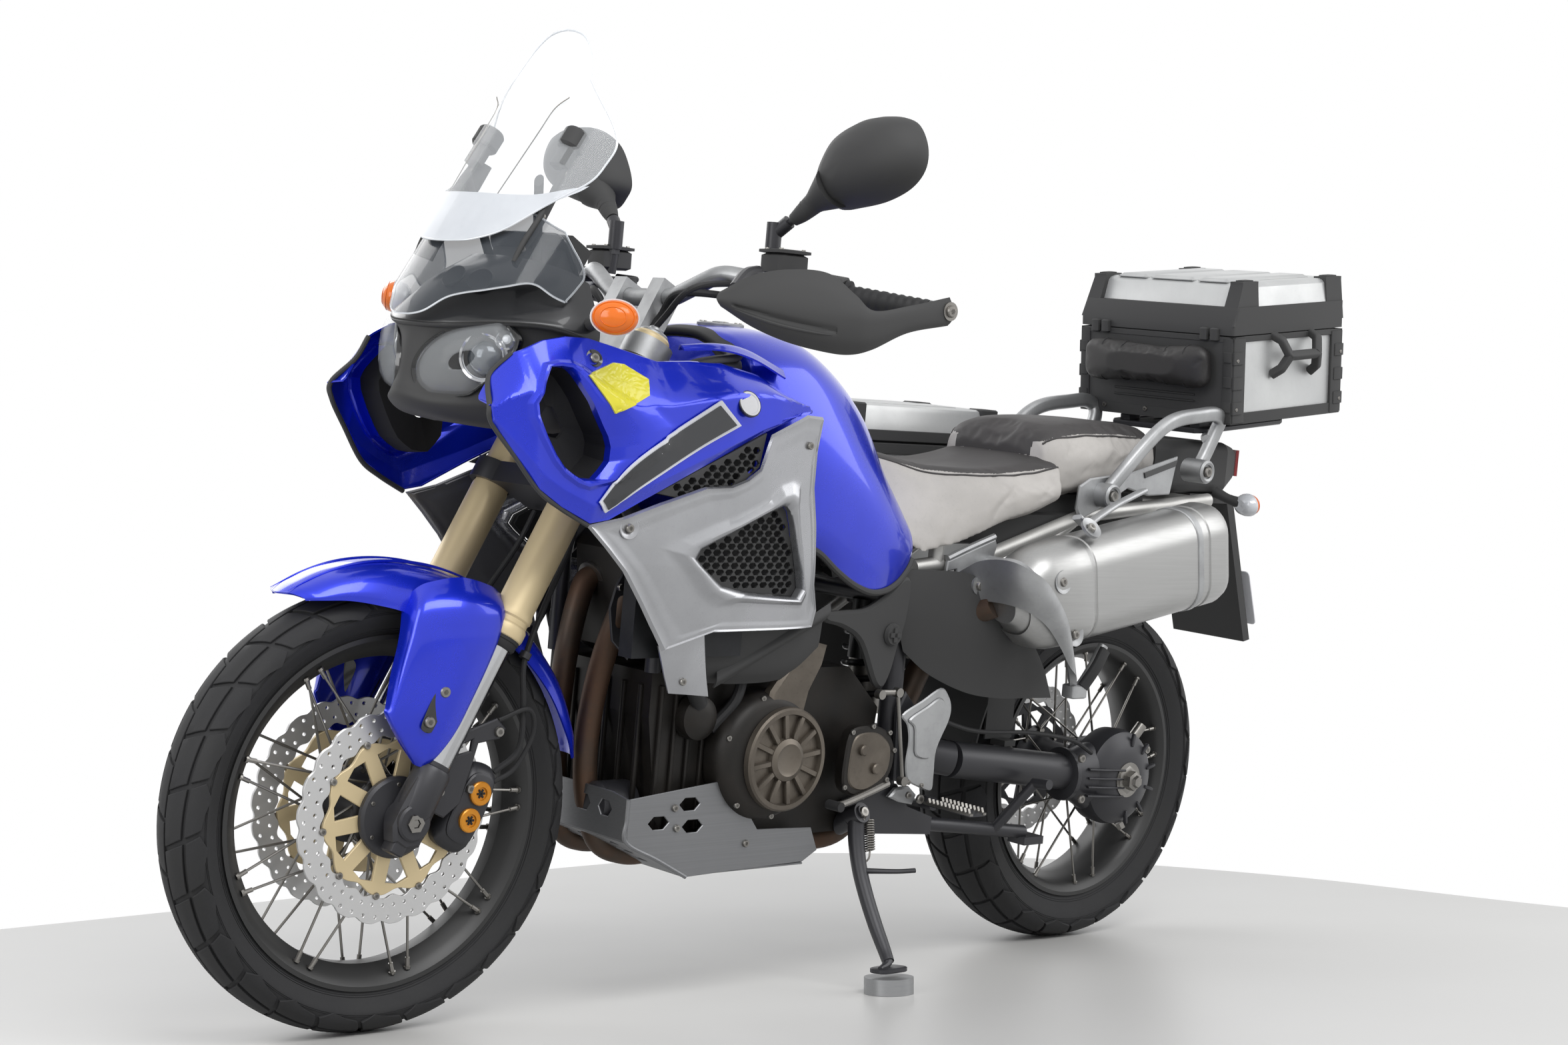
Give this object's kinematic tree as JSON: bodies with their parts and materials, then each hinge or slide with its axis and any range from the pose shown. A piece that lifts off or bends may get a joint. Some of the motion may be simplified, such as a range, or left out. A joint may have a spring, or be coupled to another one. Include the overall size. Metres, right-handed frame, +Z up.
{
  "type": "adventure motorcycle",
  "caption": "Adventure motorcycle leaning on its side stand: wire wheels, tall screen, side scoops, shaft drive, left silencer, top box and a side case.",
  "frame": {"origin": "on the ground at the centre of the parked machine's bounding box", "axes": "+X forward, +Y to the rider's left, the side it leans to, +Z up from the ground"},
  "size_m": [2.3806, 1, 1.4876],
  "materials": {
    "tyre": "matt",
    "rim_black": "satin",
    "disc_steel": "brushed",
    "gold": "satin anodised",
    "fork_low": "polished",
    "black_metal": "satin",
    "bar_metal": "satin",
    "black_plastic": "grained",
    "blue": "metallic gloss",
    "engine": "satin black",
    "exhaust": "heat stained",
    "muffler": "satin",
    "core": "finned",
    "alu": "brushed",
    "clear": "clear",
    "smoke": "smoked",
    "silver": "metallic satin",
    "seat": "textured vinyl",
    "lens": "clear gloss"
  },
  "bodies": {
    "chassis": {"main_frame": "black_metal", "crankcase": "engine", "engine_covers": "engine", "cylinders": "engine", "exhaust_headers": "exhaust", "muffler": "muffler", "radiator": "core", "skid_plate": "alu", "fuel_tank": "blue", "front_cowl": "black_plastic", "headlamps": "clear", "cockpit": "black_plastic", "windscreen": "clear", "screen_base": "smoke", "side_scoops": "blue", "side_panels": "silver", "rider_seat": "seat", "passenger_seat": "seat", "subframe": "silver", "luggage_rack": "silver", "tail_unit": "black_plastic", "rear_mudguards": "black_plastic", "signal_lamps": "lens", "swingarm": "black_metal", "final_drive": "black_metal", "shock_absorber": "black_metal", "footpegs": "bar_metal", "passenger_pegs": "silver", "top_box_body": "alu", "backrest_pad": "seat", "side_case_body": "alu"},
    "steering": {"fork_outer_tubes": "gold", "fork_lowers": "fork_low", "front_calipers": "black_metal", "lower_fork_clamp": "black_metal", "upper_fork_clamp": "bar_metal", "handlebar": "bar_metal", "bar_controls": "black_plastic", "handguards": "black_plastic", "mirrors": "black_plastic", "front_fender": "blue"},
    "front_wheel": {"front_tyre": "tyre", "front_wheel": "rim_black", "front_brake_discs": "disc_steel"},
    "rear_wheel": {"rear_tyre": "tyre", "rear_wheel": "rim_black", "rear_brake_disc": "disc_steel"},
    "side_stand": {"side_stand": "black_metal", "stand_puck": "alu"},
    "centre_stand": {"centre_stand": "black_metal"},
    "top_box_lid": {"top_box_lid": "alu"},
    "side_case_lid": {"side_case_lid": "alu"}
  },
  "joints": [
    {"name": "steering_turn", "type": "hinge", "parent": "chassis", "child": "steering", "pos_m": [0.57334, -0.03567, 0.77535], "axis": [-0.4698, 0.1145, 0.8753], "range_deg": [-33, 39]},
    {"name": "front_wheel_spin", "type": "hinge", "parent": "steering", "child": "front_wheel", "pos_m": [0.86284, -0.09653, 0.32748], "axis": [0.0462, 0.9934, -0.1051], "continuous": true},
    {"name": "rear_wheel_spin", "type": "hinge", "parent": "chassis", "child": "rear_wheel", "pos_m": [-0.67711, -0.0953, 0.31892], "axis": [0, 0.9916, -0.1297], "continuous": true},
    {"name": "side_stand_fold", "type": "hinge", "parent": "chassis", "child": "side_stand", "pos_m": [0.0129, 0.06352, 0.27657], "axis": [0.0303, 0.9112, 0.4108], "range_deg": [0, 84.4]},
    {"name": "centre_stand_fold", "type": "hinge", "parent": "chassis", "child": "centre_stand", "pos_m": [-0.17709, -0.10303, 0.25996], "axis": [0, -0.9916, 0.1297], "range_deg": [0, 95]},
    {"name": "top_box_lid_hinge", "type": "hinge", "parent": "chassis", "child": "top_box_lid", "pos_m": [-0.8289, 0.01052, 1.12811], "axis": [0, 0.9916, -0.1297], "range_deg": [0, 80]},
    {"name": "side_case_lid_hinge", "type": "hinge", "parent": "chassis", "child": "side_case_lid", "pos_m": [-0.47731, -0.24613, 0.91242], "axis": [-1, 0, -0.0003], "range_deg": [0, 75]}
  ]
}
